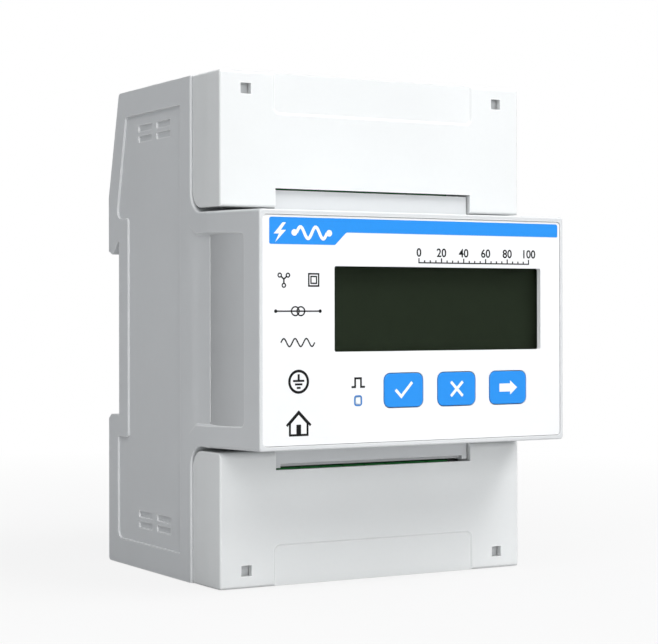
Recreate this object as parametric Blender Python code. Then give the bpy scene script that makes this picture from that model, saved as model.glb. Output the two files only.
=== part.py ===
"""Smart electric meter for a 35 mm top-hat rail, four modules wide, as an assembly of separate pieces.

Lengths are in millimetres and the scene is in metres. +X is right seen from the front, the front faces
-Y and +Z is up. The origin is on the slot floor that rests on the rail, on the rail's centre line.
"""

import math

import bmesh
import bpy
from mathutils import Matrix, Vector

MM = 0.001

# Casing
HALF_WIDTH = 36.0
HALF_HEIGHT = 50.0
WALL = 1.8
REAR = 5.0  # rearmost plane, behind the rail's contact plane at y = 0
NOSE_FRONT = -60.5
NOSE_HALF_WIDTH = 35.2
NOSE_HALF_HEIGHT = 22.45
NOSE_ROOT_HALF_HEIGHT = 22.9
CREASE = -41.3  # the sides draw in forward of this plane
DECK = -34.0  # terminal deck, where the flip covers meet the casing
SPLIT = -29.2  # front edge of the rear base's top and bottom walls
SEAM_GAP = 0.25
INNER_HALF_WIDTH = HALF_WIDTH - WALL
INNER_HALF_HEIGHT = HALF_HEIGHT - 2.0
BASE_HALF_WIDTH = INNER_HALF_WIDTH - SEAM_GAP
PANEL_DEPTH = 0.4  # shallow recess in each side
MARK_DEPTH = 0.35  # grip marks, below the recess's floor

# Rail slot
LIP_UNDERSIDE = 15.8
LIP_POCKET_TOP = 18.4
BLOCK_TOP = -18.5
SLOT_FLOOR = -0.2  # around the seat pad, which alone touches the rail, at y = 0
SEAT_HALF_WIDTH = 33.5
SEAT_HALF_HEIGHT = 15.0
BASE_INNER_REAR = -2.2

# Flip covers
COVER_FRONT = -45.3
COVER_REAR = DECK - 0.3
COVER_HALF_WIDTH = 35.65
COVER_CREASE = -40.7
COVER_NEAR = 23.7
COVER_WALL = 1.2
COVER_SIDE_WALL = 1.5
COVER_FRONT_HALF_WIDTH = 35.4
PIVOT_Y = COVER_FRONT + 2.0
PIVOT_Z = COVER_NEAR + 2.3
TOP_COVER_ROUND = 0.5  # of the near end, which passes 0.3 mm over the nose as the cover turns
BOTTOM_COVER_ROUND = 1.3
NOTCH_HALF_WIDTH = 23.15
NOTCH_END = 27.5
STRIP_FRONT = -44.4
STRIP_END = 27.2
LOWER_STRIP_END = 26.3
LEDGE_FRONT = -43.2  # of the step beyond the lower strip
LEDGE_END = 26.95
EAR_INNER = 21.6
EAR_OUTER = 22.85
PEG_RADIUS = 0.55
SNAP_X = 29.7
SNAP_Z = 46.6
SNAP_POST_FRONT = -43.7

# Front panel
PANEL_FRONT = -60.35
PANEL_BACK = -59.25
PANEL_SEAT = -59.15
NOSE_WALL_BACK = -58.0
DISPLAY_X = 5.32
DISPLAY_Z = 3.9
DISPLAY_WIDTH = 48.5
DISPLAY_HEIGHT = 16.2
KEY_Z = -11.72
KEY_PITCH = 12.4
KEY_CENTRES = [9.0 - KEY_PITCH, 9.0, 9.0 + KEY_PITCH]
KEY_NAMES = ["button_enter", "button_cancel", "button_next"]
KEY_WIDTH = 8.9
KEY_HEIGHT = 6.5
KEY_FRONT = -60.45
LAMP_X = -13.74
LAMP_Z = -13.5
LAMP_WIDTH = 1.0
LAMP_HEIGHT = 1.25

# Boards and terminals
DISPLAY_BOARD_FRONT = -52.2
DISPLAY_BOARD_BACK = -51.0
MAIN_BOARD_FRONT = -21.4
MAIN_BOARD_BACK = -19.8
SCREW_X = 30.2
SCREW_Z = 40.0
TERMINAL_X = -1.0
TERMINAL_WIDTH = 40.64
TERMINAL_FRONT = -42.4
TERMINAL_NEAR = 27.3
TERMINAL_FAR = 46.5
TERMINAL_SCREW_Z = 33.4
WIRE_Y = -26.0

# Rail latch
LATCH_TOP = -16.4
LATCH_HALF_WIDTH = 8.5
LATCH_NECK = 6.7
LATCH_FRONT = 1.3
LATCH_STEP = 3.1
LATCH_REAR = 4.7
SLIDE_GAP = 0.3
WINDOW_HALF_WIDTH = 2.2
WINDOW_TOP = -26.0
WINDOW_BOTTOM = -42.0
PEG_TOP = -39.9

COLOURS = {  # linear colour, roughness, metallic
    "casing_grey": ((0.56, 0.58, 0.60), 0.45, 0.0),
    "cover_grey": ((0.66, 0.68, 0.69), 0.42, 0.0),
    "panel_white": ((0.86, 0.87, 0.88), 0.35, 0.0),
    "key_blue": ((0.045, 0.32, 0.92), 0.35, 0.0),
    "clear": ((0.55, 0.58, 0.56), 0.08, 0.0),
    "display_glass": ((0.028, 0.032, 0.026), 0.20, 0.0),
    "lamp_white": ((0.80, 0.86, 0.90), 0.25, 0.0),
    "terminal_green": ((0.02, 0.23, 0.05), 0.45, 0.0),
    "board_green": ((0.01, 0.12, 0.04), 0.50, 0.0),
    "part_black": ((0.02, 0.02, 0.022), 0.50, 0.0),
    "varistor_blue": ((0.03, 0.10, 0.35), 0.50, 0.0),
    "sleeve_black": ((0.03, 0.03, 0.05), 0.35, 0.0),
    "ribbon_ivory": ((0.70, 0.66, 0.55), 0.50, 0.0),
    "latch_grey": ((0.36, 0.38, 0.40), 0.50, 0.0),
    "steel": ((0.62, 0.62, 0.60), 0.30, 1.0),
}


def clear_scene():
    for thing in list(bpy.data.objects):
        bpy.data.objects.remove(thing, do_unlink=True)


def material(name):
    found = bpy.data.materials.get(name)
    if found:
        return found
    colour, roughness, metallic = COLOURS[name]
    made = bpy.data.materials.new(name)
    made.use_nodes = True
    shader = made.node_tree.nodes["Principled BSDF"]
    shader.inputs["Base Color"].default_value = (*colour, 1.0)
    shader.inputs["Roughness"].default_value = roughness
    shader.inputs["Metallic"].default_value = metallic
    return made


def outline(corners, steps=4):
    """Points of a closed outline, in which a corner (a, b, radius) is rounded."""
    points = []
    count = len(corners)
    for i, corner in enumerate(corners):
        here = Vector((corner[0], corner[1], 0.0))
        if len(corner) == 2:
            points.append(here)
            continue
        radius = corner[2]
        before = (Vector((*corners[i - 1][:2], 0.0)) - here).normalized()
        after = (Vector((*corners[(i + 1) % count][:2], 0.0)) - here).normalized()
        half = before.angle(after) / 2
        centre = here + (before + after).normalized() * (radius / math.sin(half))
        reach = radius / math.tan(half)
        start = (here + before * reach - centre).normalized()
        end = (here + after * reach - centre).normalized()
        for step in range(steps + 1):
            points.append(centre + start.slerp(end, step / steps) * radius)
    return [(p.x, p.y) for p in points]


def rectangle(centre_a, centre_b, width, height, radius=0.0, steps=4):
    a0, a1 = centre_a - width / 2, centre_a + width / 2
    b0, b1 = centre_b - height / 2, centre_b + height / 2
    corners = [(a0, b0), (a1, b0), (a1, b1), (a0, b1)]
    if radius:
        corners = [(a, b, radius) for a, b in corners]
    return outline(corners, steps)


def circle(centre_a, centre_b, radius, count=16):
    turns = [2 * math.pi * (i + 0.5) / count for i in range(count)]
    return [(centre_a + radius * math.cos(t), centre_b + radius * math.sin(t)) for t in turns]


def in_space(axis, a, b, height):
    """The point at a height along an axis, with a and b along the other two in X, Y, Z order."""
    if axis == "X":
        return Vector((height, a, b)) * MM
    if axis == "Y":
        return Vector((a, height, b)) * MM
    return Vector((a, b, height)) * MM


def object_from(bm, name, colour):
    bmesh.ops.recalc_face_normals(bm, faces=bm.faces)
    mesh = bpy.data.meshes.new(name)
    bm.to_mesh(mesh)
    bm.free()
    mesh.materials.append(material(colour))
    made = bpy.data.objects.new(name, mesh)
    bpy.context.scene.collection.objects.link(made)
    return made


def extrude(points, axis, low, high, name="shape", colour="casing_grey"):
    """A closed body: an outline across the axis, extruded from low to high."""
    bm = bmesh.new()
    face = bm.faces.new([bm.verts.new(in_space(axis, a, b, low)) for a, b in points])
    result = bmesh.ops.extrude_face_region(bm, geom=[face])
    moved = [g for g in result["geom"] if isinstance(g, bmesh.types.BMVert)]
    bmesh.ops.translate(bm, verts=moved, vec=in_space(axis, 0, 0, high - low))
    return object_from(bm, name, colour)


def box(x, y, z, name="shape", colour="casing_grey"):
    """A box from (low, high) pairs."""
    points = [(x[0], y[0]), (x[1], y[0]), (x[1], y[1]), (x[0], y[1])]
    return extrude(points, "Z", z[0], z[1], name, colour)


def loft(axis, first, second, name="shape", colour="casing_grey"):
    """A closed body between two outlines of equal length, each given as (height, points)."""
    bm = bmesh.new()
    rings = []
    for height, points in (first, second):
        ring = [bm.verts.new(in_space(axis, a, b, height)) for a, b in points]
        bm.faces.new(ring)
        rings.append(ring)
    count = len(rings[0])
    for i in range(count):
        j = (i + 1) % count
        bm.faces.new([rings[0][i], rings[0][j], rings[1][j], rings[1][i]])
    return object_from(bm, name, colour)


def combine(target, tool, operation):
    """Cuts the tool from the target, or joins it on, and removes the tool."""
    step = target.modifiers.new("Boolean", "BOOLEAN")
    step.operation = operation
    step.solver = "EXACT"
    step.object = tool
    graph = bpy.context.evaluated_depsgraph_get()
    mesh = bpy.data.meshes.new_from_object(target.evaluated_get(graph))
    target.modifiers.remove(step)
    target.data = mesh
    mesh.name = target.name
    bpy.data.objects.remove(tool, do_unlink=True)


def cut(target, tool):
    combine(target, tool, "DIFFERENCE")


def join(target, tool):
    combine(target, tool, "UNION")


def smooth(target, degrees=35.0):
    target.data.shade_smooth()
    target.data.set_sharp_from_angle(angle=math.radians(degrees))


def set_origin(target, x, y, z):
    """Moves the origin to a point, such as one on a joint's axis, and leaves the shape where it is."""
    point = Vector((x, y, z)) * MM
    target.data.transform(Matrix.Translation(-point))
    target.location = point


def flipped(corners, side):
    """The (y, z) corners for the upper side, +1, or mirrored for the lower side, -1."""
    return [(c[0], side * c[1], *c[2:]) for c in corners]


def span(side, low, high):
    """A low and high z, measured outwards on the upper side, +1, or the lower side, -1."""
    return (low, high) if side > 0 else (-high, -low)


def rear_profile():
    """Corners of the casing's rear from its top to its foot, with the rail slot between."""
    return [
        (-0.3, HALF_HEIGHT, 1.0),
        (REAR, 28.0, 1.5),
        (REAR, 16.5),
        (3.3, LIP_UNDERSIDE),
        (2.8, 16.0),
        (0.3, LIP_POCKET_TOP),
        (SLOT_FLOOR, LIP_POCKET_TOP),
        (SLOT_FLOOR, BLOCK_TOP),
        (3.8, BLOCK_TOP),
        (REAR, -19.4),
        (REAR, -HALF_HEIGHT, 0.8),
    ]


# Casing


def make_rear_base():
    """The casing's rear, top and underside, which fit between the main housing's side walls."""
    profile = outline([(SPLIT, HALF_HEIGHT), *rear_profile(), (SPLIT, -HALF_HEIGHT)], 3)
    base = extrude(profile, "X", -BASE_HALF_WIDTH, BASE_HALF_WIDTH, "rear_base")
    cavity = [
        (SPLIT - 1, -INNER_HALF_HEIGHT),
        (BASE_INNER_REAR, -INNER_HALF_HEIGHT),
        (BASE_INNER_REAR, 20.6),
        (2.6, 21.6),
        (2.6, 27.4),
        (-2.4, INNER_HALF_HEIGHT),
        (SPLIT - 1, INNER_HALF_HEIGHT),
    ]
    cut(base, extrude(cavity, "X", -HALF_WIDTH, HALF_WIDTH))
    wire_slot = (TERMINAL_X - TERMINAL_WIDTH / 2, TERMINAL_X + TERMINAL_WIDTH / 2)
    for side in (-1, 1):
        hollow = tuple(sorted((side * 12.0, side * 26.0)))
        cut(base, box(hollow, (BASE_INNER_REAR - 0.5, 3.0), (-47.5, -21.5)))
        cut(base, box(wire_slot, (WIRE_Y - 2.3, WIRE_Y + 2.3), span(side, 47.0, 52.0)))
    join(base, box((-33.5, 33.5), (-21.1, -9.2), (49.0, 50.8)))
    seat = rectangle(0.0, 0.0, 2 * SEAT_HALF_WIDTH, 2 * SEAT_HALF_HEIGHT)
    join(base, extrude(seat, "Y", SLOT_FLOOR - 0.5, 0.0))
    add_latch_groove(base)
    add_screw_bosses(base)
    return base


def add_latch_groove(base):
    wide = LATCH_HALF_WIDTH + SLIDE_GAP
    neck = LATCH_NECK + SLIDE_GAP
    step = LATCH_STEP + SLIDE_GAP
    floor = LATCH_FRONT - SLIDE_GAP
    cut(base, box((-wide, wide), (floor, step), (-60.0, -10.0)))
    cut(base, box((-neck, neck), (floor, REAR + 1), (-60.0, -10.0)))
    peg = WINDOW_HALF_WIDTH - SLIDE_GAP
    join(base, box((-peg, peg), (0.0, LATCH_REAR - SLIDE_GAP), (WINDOW_BOTTOM + SLIDE_GAP, PEG_TOP)))


def add_screw_bosses(base):
    for x in (-SCREW_X, SCREW_X):
        for z in (-SCREW_Z, SCREW_Z):
            join(base, extrude(circle(x, z, 2.9, 12), "Y", MAIN_BOARD_BACK + 0.3, -0.2))
            cut(base, extrude(circle(x, z, 1.5, 12), "Y", -25.0, 10.0))
            cut(base, extrude(circle(x, z, 2.7), "Y", 0.3, 10.0))


def make_main_housing():
    """The casing's side walls, its terminal decks and the nose."""
    profile = outline(
        [
            (DECK, HALF_HEIGHT),
            (DECK, NOSE_ROOT_HALF_HEIGHT, 4.0),
            (CREASE, NOSE_ROOT_HALF_HEIGHT),
            (CREASE, -NOSE_ROOT_HALF_HEIGHT),
            (DECK, -NOSE_ROOT_HALF_HEIGHT, 4.0),
            (DECK, -HALF_HEIGHT),
            *rear_profile()[::-1],
        ],
        4,
    )
    housing = extrude(profile, "X", -HALF_WIDTH, HALF_WIDTH, "main_housing")
    root = rectangle(0.0, 0.0, 2 * HALF_WIDTH, 2 * NOSE_ROOT_HALF_HEIGHT)
    front = rectangle(0.0, 0.0, 2 * NOSE_HALF_WIDTH, 2 * NOSE_HALF_HEIGHT)
    join(housing, loft("Y", (CREASE, root), (NOSE_FRONT, front)))
    inner = (-INNER_HALF_WIDTH, INNER_HALF_WIDTH)
    cut(housing, box(inner, (DECK + WALL, 10.0), (-INNER_HALF_HEIGHT, INNER_HALF_HEIGHT)))
    cut(housing, box(inner, (SPLIT - 0.3, 10.0), (-60.0, 60.0)))
    cut(housing, box((-33.2, 33.2), (NOSE_WALL_BACK, DECK + WALL + 1), (-20.9, 20.9)))
    for side in (-1, 1):
        add_side_panel(housing, side)
        add_finger_pocket(housing, side)
        add_terminal_window(housing, side)
        add_hinge_strip(housing, side)
        add_side_marks(housing, side)
    add_front_openings(housing)
    add_housing_posts(housing)
    return housing


def add_side_panel(housing, side):
    """A shallow recess that follows the rail slot's outline at a distance of about 5 mm."""
    corners = [
        (-29.3, -44.6, 0.3),
        (0.2, -44.6, 1.7),
        (0.3, -23.1, 0.4),
        (-4.8, -23.1, 0.8),
        (-4.8, 23.3, 0.9),
        (0.95, 23.3, 1.8),
        (-3.7, 44.6, 0.6),
        (-29.3, 44.6, 0.3),
    ]
    depth = sorted((side * (HALF_WIDTH - PANEL_DEPTH), side * (HALF_WIDTH + 1)))
    cut(housing, extrude(outline(corners, 3), "X", *depth))


def add_finger_pocket(housing, side):
    """A shallow grip in the nose's side, with sloping walls. It is deepest along the crease."""
    outer = HALF_WIDTH + 1
    floor = [
        (outer, -32.0),
        (HALF_WIDTH, -33.0),
        (HALF_WIDTH - 0.4, -37.0),
        (HALF_WIDTH - 0.5, CREASE),
        (35.62, -44.8),
        (35.55, -49.0),
        (35.28, -55.0),
        (outer, -58.0),
    ]
    tool = extrude([(side * x, y) for x, y in floor], "Z", -25.0, 25.0)
    deep, high = HALF_WIDTH - 0.8, outer
    walls = loft("X", (side * deep, pocket_outline(0.0)), (side * high, pocket_outline(high - deep)))
    combine(tool, walls, "INTERSECT")
    cut(housing, tool)


def pocket_outline(margin):
    """The finger pocket seen from the side, at the place where its walls have moved out by a margin."""
    front = -54.7 - margin
    edge = 18.0 + margin
    upper = [(front, edge, 1.2), (-36.0, edge, 1.5), (-32.5, edge + 2.3)]
    return outline([*flipped(upper, 1), *flipped(upper, -1)[::-1]], 3)


def add_terminal_window(housing, side):
    low = TERMINAL_X - TERMINAL_WIDTH / 2 - 0.3
    high = TERMINAL_X + TERMINAL_WIDTH / 2 + 0.3
    z = span(side, TERMINAL_NEAR - 0.3, TERMINAL_FAR + 0.3)
    cut(housing, box((low, high), (DECK - 1, DECK + WALL + 1), z))


def add_hinge_strip(housing, side):
    """The strip that fills the cover's notch, with an ear and a peg hole at each end."""
    end = STRIP_END if side > 0 else LOWER_STRIP_END
    width = (-EAR_OUTER, EAR_OUTER)
    join(housing, box(width, (STRIP_FRONT, -40.5), span(side, 22.0, end)))
    if side < 0:
        join(housing, box(width, (LEDGE_FRONT, -40.5), span(side, 22.0, LEDGE_END)))
    for hand in (-1, 1):
        ear = tuple(sorted((hand * EAR_INNER, hand * EAR_OUTER)))
        if side < 0:
            join(housing, box(ear, (STRIP_FRONT, -40.5), span(side, 22.0, STRIP_END)))
        hole = sorted((hand * (EAR_INNER + 0.05), hand * (EAR_OUTER + 1)))
        cut(housing, extrude(circle(PIVOT_Y, side * PIVOT_Z, PEG_RADIUS + 0.2, 12), "X", *hole))
        post = tuple(sorted((hand * (SNAP_X - 1.8), hand * (SNAP_X + 1.8))))
        join(housing, box(post, (SNAP_POST_FRONT, DECK + 0.5), span(side, SNAP_Z - 1.3, SNAP_Z + 1.3)))


def add_side_marks(housing, side):
    """Two rows of two shallow dashes near the top, or the bottom, of each side."""
    rows = (39.5, 41.7) if side > 0 else (38.7, 40.9)
    for hand in (-1, 1):
        floor = HALF_WIDTH - PANEL_DEPTH - MARK_DEPTH
        depth = tuple(sorted((hand * floor, hand * (HALF_WIDTH + 1))))
        for y in (-12.5, -21.1):
            for z in rows:
                cut(housing, box(depth, (y - 3.1, y + 3.1), span(side, z - 0.55, z + 0.55)))


def add_front_openings(housing):
    seat = rectangle(0.0, -0.05, 69.0, 43.1, 0.8)
    cut(housing, extrude(seat, "Y", NOSE_FRONT - 1, PANEL_SEAT))
    through = (NOSE_FRONT - 1, NOSE_WALL_BACK + 1)
    display = rectangle(DISPLAY_X, DISPLAY_Z, 50.4, 18.1)
    cut(housing, extrude(display, "Y", *through))
    for x in KEY_CENTRES:
        opening = rectangle(x, KEY_Z, KEY_WIDTH + 0.3, KEY_HEIGHT + 0.3, 1.45, 3)
        cut(housing, extrude(opening, "Y", *through))
    cut(housing, extrude(rectangle(LAMP_X, LAMP_Z, 2.0, 2.0), "Y", *through))


def add_housing_posts(housing):
    for x in (-SCREW_X, SCREW_X):
        for z in (-SCREW_Z, SCREW_Z):
            post = circle(x, z, 2.9, 12)
            join(housing, extrude(post, "Y", DECK + 0.5, MAIN_BOARD_FRONT - 0.3))
            cut(housing, extrude(circle(x, z, 1.35, 12), "Y", -31.0, -20.0))
    for x in (-29.5, 29.5):
        for z in (-17.5, 17.5):
            post = circle(x, z, 1.3, 8)
            join(housing, extrude(post, "Y", NOSE_WALL_BACK - 0.5, DISPLAY_BOARD_FRONT - 0.2))


def make_cover(side, name):
    """A flip cover that is closed over its terminals. It turns about the pegs at its near end."""
    profile = [
        (COVER_FRONT, COVER_NEAR, TOP_COVER_ROUND if side > 0 else BOTTOM_COVER_ROUND),
        (COVER_FRONT, HALF_HEIGHT, 0.6),
        (COVER_REAR, HALF_HEIGHT),
        (COVER_REAR - 0.1, COVER_NEAR, 3.6),
    ]
    points = outline(flipped(profile, side), 5)
    cover = extrude(points, "X", -COVER_HALF_WIDTH, COVER_HALF_WIDTH, name, "cover_grey")
    hollow = [
        (COVER_FRONT + COVER_WALL, 28.2),
        (COVER_FRONT + COVER_WALL, HALF_HEIGHT - 1.4),
        (COVER_REAR + 2, HALF_HEIGHT - 1.4),
        (COVER_REAR + 2, 28.2),
        (-35.7, 28.2),
        (-35.7, 25.0, 2.3),
        (-40.8, 25.0),
        (-40.8, 28.2),
    ]
    inner = COVER_HALF_WIDTH - COVER_SIDE_WALL
    cut(cover, extrude(outline(flipped(hollow, side)), "X", -inner, inner))
    draw_in = (COVER_HALF_WIDTH - COVER_FRONT_HALF_WIDTH) / (COVER_CREASE - COVER_FRONT)
    for hand in (-1, 1):
        wedge = [
            (COVER_HALF_WIDTH, COVER_CREASE),
            (COVER_FRONT_HALF_WIDTH - draw_in, COVER_FRONT - 1),
            (HALF_WIDTH + 1, COVER_FRONT - 1),
            (HALF_WIDTH + 1, COVER_CREASE),
        ]
        cut(cover, extrude([(hand * x, y) for x, y in wedge], "Z", -60.0, 60.0))
    notch = (-NOTCH_HALF_WIDTH, NOTCH_HALF_WIDTH)
    cut(cover, box(notch, (-50.0, -30.0), span(side, 20.0, NOTCH_END)))
    cut(cover, box(notch, (COVER_FRONT + COVER_WALL, -30.0), span(side, 20.0, 28.4)))
    for hand in (-1, 1):
        snap = rectangle(hand * SNAP_X, side * SNAP_Z, 2.3, 2.1)
        cut(cover, extrude(snap, "Y", COVER_FRONT - 1, COVER_FRONT + COVER_WALL + 1))
        peg = sorted((hand * (EAR_INNER + 0.35), hand * (NOTCH_HALF_WIDTH + 0.5)))
        join(cover, extrude(circle(PIVOT_Y, side * PIVOT_Z, PEG_RADIUS, 12), "X", *peg))
    label = rectangle(0.0, side * 47.3, 46.4, 10.0, 1.0)
    cut(cover, extrude(label, "Y", COVER_FRONT - 1, COVER_FRONT + 0.3))
    set_origin(cover, 0.0, PIVOT_Y, side * PIVOT_Z)
    return cover


# Front panel, keys and display


def make_faceplate():
    plate = extrude(
        rectangle(0.0, -0.05, 68.84, 42.94, 0.7), "Y", PANEL_FRONT, PANEL_BACK, "faceplate", "panel_white"
    )
    through = (PANEL_FRONT - 1, PANEL_BACK + 1)
    display = rectangle(DISPLAY_X, DISPLAY_Z, DISPLAY_WIDTH, DISPLAY_HEIGHT, 0.4, 3)
    cut(plate, extrude(display, "Y", *through))
    for x in KEY_CENTRES:
        opening = rectangle(x, KEY_Z, KEY_WIDTH + 0.3, KEY_HEIGHT + 0.3, 1.45)
        cut(plate, extrude(opening, "Y", *through))
    lamp = rectangle(LAMP_X, LAMP_Z, LAMP_WIDTH + 0.2, LAMP_HEIGHT + 0.2, 0.3, 3)
    cut(plate, extrude(lamp, "Y", *through))


def make_display():
    lens = rectangle(DISPLAY_X, DISPLAY_Z, 49.8, 17.5)
    extrude(lens, "Y", -58.95, -58.1, "display_window", "clear")
    glass = rectangle(DISPLAY_X, DISPLAY_Z, 51.0, 19.2)
    extrude(glass, "Y", -57.8, -55.6, "lcd_panel", "display_glass")
    frame = rectangle(DISPLAY_X, DISPLAY_Z, 52.4, 20.2)
    holder = extrude(frame, "Y", -57.0, DISPLAY_BOARD_FRONT - 0.2, "lcd_holder", "panel_white")
    pocket = rectangle(DISPLAY_X, DISPLAY_Z, 51.4, 19.6)
    cut(holder, extrude(pocket, "Y", -60.0, -55.4))
    light_guide = rectangle(DISPLAY_X, DISPLAY_Z, 47.0, 15.0)
    cut(holder, extrude(light_guide, "Y", -56.0, -50.0))


def make_key(name, number, x):
    """A push key, the switch plunger that it presses and the switch's fixed case."""
    cap = rectangle(x, KEY_Z, KEY_WIDTH, KEY_HEIGHT, 1.3)
    key = extrude(cap, "Y", KEY_FRONT, -57.4, name, "key_blue")
    join(key, extrude(rectangle(x, KEY_Z, 10.2, 8.4), "Y", -57.8, -56.9))
    join(key, extrude(circle(x, KEY_Z, 1.5, 12), "Y", -57.2, -56.4))
    set_origin(key, x, KEY_FRONT, KEY_Z)
    plunger = extrude(
        circle(x, KEY_Z, 1.6, 12), "Y", -56.2, -53.5, f"key_plunger_{number}", "part_black"
    )
    set_origin(plunger, x, -56.2, KEY_Z)
    smooth(plunger)
    case = extrude(
        rectangle(x, KEY_Z, 6.0, 6.0),
        "Y",
        -55.0,
        DISPLAY_BOARD_FRONT - 0.2,
        f"tact_switch_{number}",
        "steel",
    )
    cut(case, extrude(circle(x, KEY_Z, 1.8, 12), "Y", -60.0, -52.8))


def make_pulse_lamp():
    tip = rectangle(LAMP_X, LAMP_Z, LAMP_WIDTH, LAMP_HEIGHT, 0.2, 3)
    pipe = extrude(tip, "Y", -60.4, -53.4, "pulse_light_pipe", "lamp_white")
    join(pipe, extrude(rectangle(LAMP_X, LAMP_Z, 3.0, 3.0), "Y", -57.8, -57.0))
    lamp = rectangle(LAMP_X, LAMP_Z, 2.0, 1.25)
    extrude(lamp, "Y", -53.1, DISPLAY_BOARD_FRONT - 0.2, "pulse_led", "lamp_white")


# Boards and what stands on them


def make_boards():
    display = rectangle(0.0, 0.0, 63.0, 39.0, 1.0, 3)
    extrude(display, "Y", DISPLAY_BOARD_FRONT, DISPLAY_BOARD_BACK, "display_board", "board_green")
    main = rectangle(0.0, 0.0, 66.8, 93.0, 1.0, 3)
    board = extrude(main, "Y", MAIN_BOARD_FRONT, MAIN_BOARD_BACK, "main_board", "board_green")
    for x in (-SCREW_X, SCREW_X):
        for z in (-SCREW_Z, SCREW_Z):
            cut(board, extrude(circle(x, z, 1.7, 12), "Y", -25.0, -15.0))


def make_ribbon():
    """A flat cable between the boards, with a socket on each board."""
    x = -24.0
    half_width = 5.0
    half_thickness = 0.25
    front_z, rear_z = -8.0, -14.0
    front_end, rear_end = -48.9, -23.5
    socket_front = (-50.8, -47.8)
    socket_rear = (-24.6, MAIN_BOARD_FRONT - 0.2)
    steps = 12
    upper = []
    lower = []
    for step in range(steps + 1):
        t = step / steps
        y = front_end + (rear_end - front_end) * t
        eased = t * t * (3 - 2 * t)
        z = front_z + (rear_z - front_z) * eased
        upper.append((y, z + half_thickness))
        lower.append((y, z - half_thickness))
    ribbon = extrude(
        upper + lower[::-1], "X", x - half_width, x + half_width, "display_ribbon", "ribbon_ivory"
    )
    smooth(ribbon)
    sockets = (
        ("ribbon_socket_front", socket_front, front_z, (front_end - 0.05, -40.0)),
        ("ribbon_socket_rear", socket_rear, rear_z, (-30.0, rear_end + 0.1)),
    )
    for name, y, z, mouth in sockets:
        socket = box((x - 6.5, x + 6.5), y, (z - 1.8, z + 1.8), name, "part_black")
        cut(socket, box((x - 5.3, x + 5.3), mouth, (z - 0.6, z + 0.6)))


def make_terminal_block(side, name, screw_name, poles):
    """A terminal row with one screw well and one wire entry for each pole."""
    profile = [
        (TERMINAL_FRONT, TERMINAL_NEAR),
        (TERMINAL_FRONT, 39.5),
        (-39.5, 42.0),
        (-39.5, TERMINAL_FAR),
        (MAIN_BOARD_FRONT - 0.3, TERMINAL_FAR),
        (MAIN_BOARD_FRONT - 0.3, TERMINAL_NEAR),
    ]
    low = TERMINAL_X - TERMINAL_WIDTH / 2
    block = extrude(outline(flipped(profile, side)), "X", low, low + TERMINAL_WIDTH, name, "terminal_green")
    pitch = TERMINAL_WIDTH / poles
    well = 0.35 * min(pitch, 7.0)
    z = side * TERMINAL_SCREW_Z
    for pole in range(poles):
        x = low + pitch * (pole + 0.5)
        cut(block, extrude(circle(x, z, well, 12), "Y", -50.0, -35.0))
        entry = (x - 0.36 * min(pitch, 9.0), x + 0.36 * min(pitch, 9.0))
        cut(block, box(entry, (WIRE_Y - 1.9, WIRE_Y + 1.9), span(side, 40.5, 50.0)))
        if pole:
            groove = low + pitch * pole
            cut(block, box((groove - 0.2, groove + 0.2), (-50.0, -41.9), (-60.0, 60.0)))
        make_terminal_screw(f"{screw_name}_{pole + 1}", x, z, well - 0.25)


def make_terminal_screw(name, x, z, head_radius):
    screw = extrude(circle(x, z, head_radius, 14), "Y", -41.0, -39.6, name, "steel")
    join(screw, extrude(circle(x, z, head_radius * 0.62, 10), "Y", -39.8, -35.3))
    slot = box((x - 0.3, x + 0.3), (-42.0, -40.4), (z - 4.0, z + 4.0))
    cut(screw, slot)
    smooth(screw)


def make_power_parts():
    front = MAIN_BOARD_FRONT - 0.2
    core = box((8.0, 26.0), (-37.0, front), (-6.5, 6.5), "supply_transformer", "part_black")
    join(core, box((10.5, 23.5), (-36.0, -23.0), (-8.5, 8.5)))
    for number, z in enumerate((-6.5, 6.5), 1):
        name = f"supply_capacitor_{number}"
        smooth(extrude(circle(-2.0, z, 5.0, 18), "Y", -37.8, front, name, "sleeve_black"))
    for number, x in enumerate((-26.0, -18.0, -10.0), 1):
        name = f"varistor_{number}"
        disc = extrude(circle(-27.4, 15.0, 5.0, 18), "X", x - 1.9, x + 1.9, name, "varistor_blue")
        for z in (12.5, 17.5):
            join(disc, box((x - 0.4, x + 0.4), (-25.0, front), (z - 0.4, z + 0.4)))
        smooth(disc)
    chips = (
        ("metering_chip", -22.0, 0.0, 10.0, 10.0, 1.4),
        ("controller_chip", -4.0, -17.4, 10.0, 10.0, 1.4),
        ("bus_transceiver", 14.0, -16.0, 10.4, 7.5, 2.3),
    )
    for name, x, z, width, height, thickness in chips:
        extrude(rectangle(x, z, width, height), "Y", front - thickness, front, name, "part_black")


# Rail latch and fasteners


def make_latch():
    """A slide with a hook on top that catches the rail's lower edge, pulled down to let go."""
    wide = (-LATCH_HALF_WIDTH, LATCH_HALF_WIDTH)
    height = (-49.7, LATCH_TOP)
    latch = box(wide, (LATCH_FRONT, LATCH_STEP), height, "din_latch", "latch_grey")
    join(latch, box((-LATCH_NECK, LATCH_NECK), (LATCH_FRONT, LATCH_REAR), height))
    ramp = [(2.6, -16.0), (2.6, LATCH_TOP), (LATCH_REAR, -18.8), (6.0, -18.8), (6.0, -16.0)]
    cut(latch, extrude(ramp, "X", -10.0, 10.0))
    window = (-WINDOW_HALF_WIDTH, WINDOW_HALF_WIDTH)
    cut(latch, box(window, (0.0, 6.0), (WINDOW_BOTTOM, WINDOW_TOP)))
    cut(latch, box((-3.0, 3.0), (0.0, 6.0), (-47.2, -45.6)))
    set_origin(latch, 0.0, LATCH_REAR, -33.0)


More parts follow.
